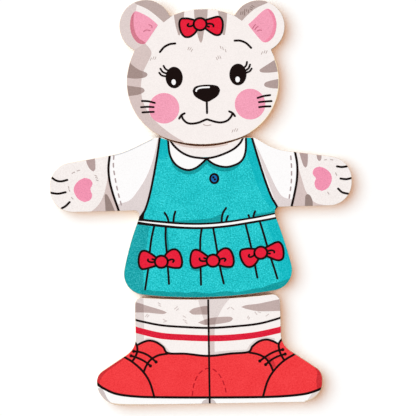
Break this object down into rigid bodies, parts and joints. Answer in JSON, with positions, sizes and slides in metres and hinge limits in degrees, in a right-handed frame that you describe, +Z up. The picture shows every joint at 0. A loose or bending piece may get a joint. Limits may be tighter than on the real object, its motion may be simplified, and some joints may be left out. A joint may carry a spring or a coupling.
{
  "type": "wooden dress-up puzzle",
  "caption": "Flat wooden dress-up puzzle: a printed plywood kitten doll whose head, torso and legs nest edge to edge on a table and pull apart to be mixed and matched.",
  "frame": {"origin": "on the table plane under the torso, on the doll's centre line, just above the underside of the arms", "axes": "+X to the right as seen from above, +Y towards the doll's head, +Z up from the table, out of the printed face"},
  "size_m": [0.1208, 0.1625, 0.0062],
  "materials": {
    "birch_face": "sanded, clear sealed",
    "birch_cross": "sanded end grain",
    "head_print": "satin printed",
    "torso_print": "satin printed",
    "legs_print": "satin printed"
  },
  "bodies": {
    "torso": {"torso_back_ply": "birch_face", "torso_lower_cross_ply": "birch_cross", "torso_core_ply": "birch_face", "torso_upper_cross_ply": "birch_cross", "torso_face_ply": "birch_face", "torso_print_sheet": "torso_print"},
    "head": {"head_back_ply": "birch_face", "head_lower_cross_ply": "birch_cross", "head_core_ply": "birch_face", "head_upper_cross_ply": "birch_cross", "head_face_ply": "birch_face", "head_print_sheet": "head_print"},
    "legs": {"legs_back_ply": "birch_face", "legs_lower_cross_ply": "birch_cross", "legs_core_ply": "birch_face", "legs_upper_cross_ply": "birch_cross", "legs_face_ply": "birch_face", "legs_print_sheet": "legs_print"}
  },
  "joints": [
    {"name": "head_pull", "type": "slide", "parent": "torso", "child": "head", "axis": [0, 1, 0], "range_m": [0, 0.04]},
    {"name": "legs_pull", "type": "slide", "parent": "torso", "child": "legs", "axis": [0, -1, 0], "range_m": [0, 0.04]}
  ]
}
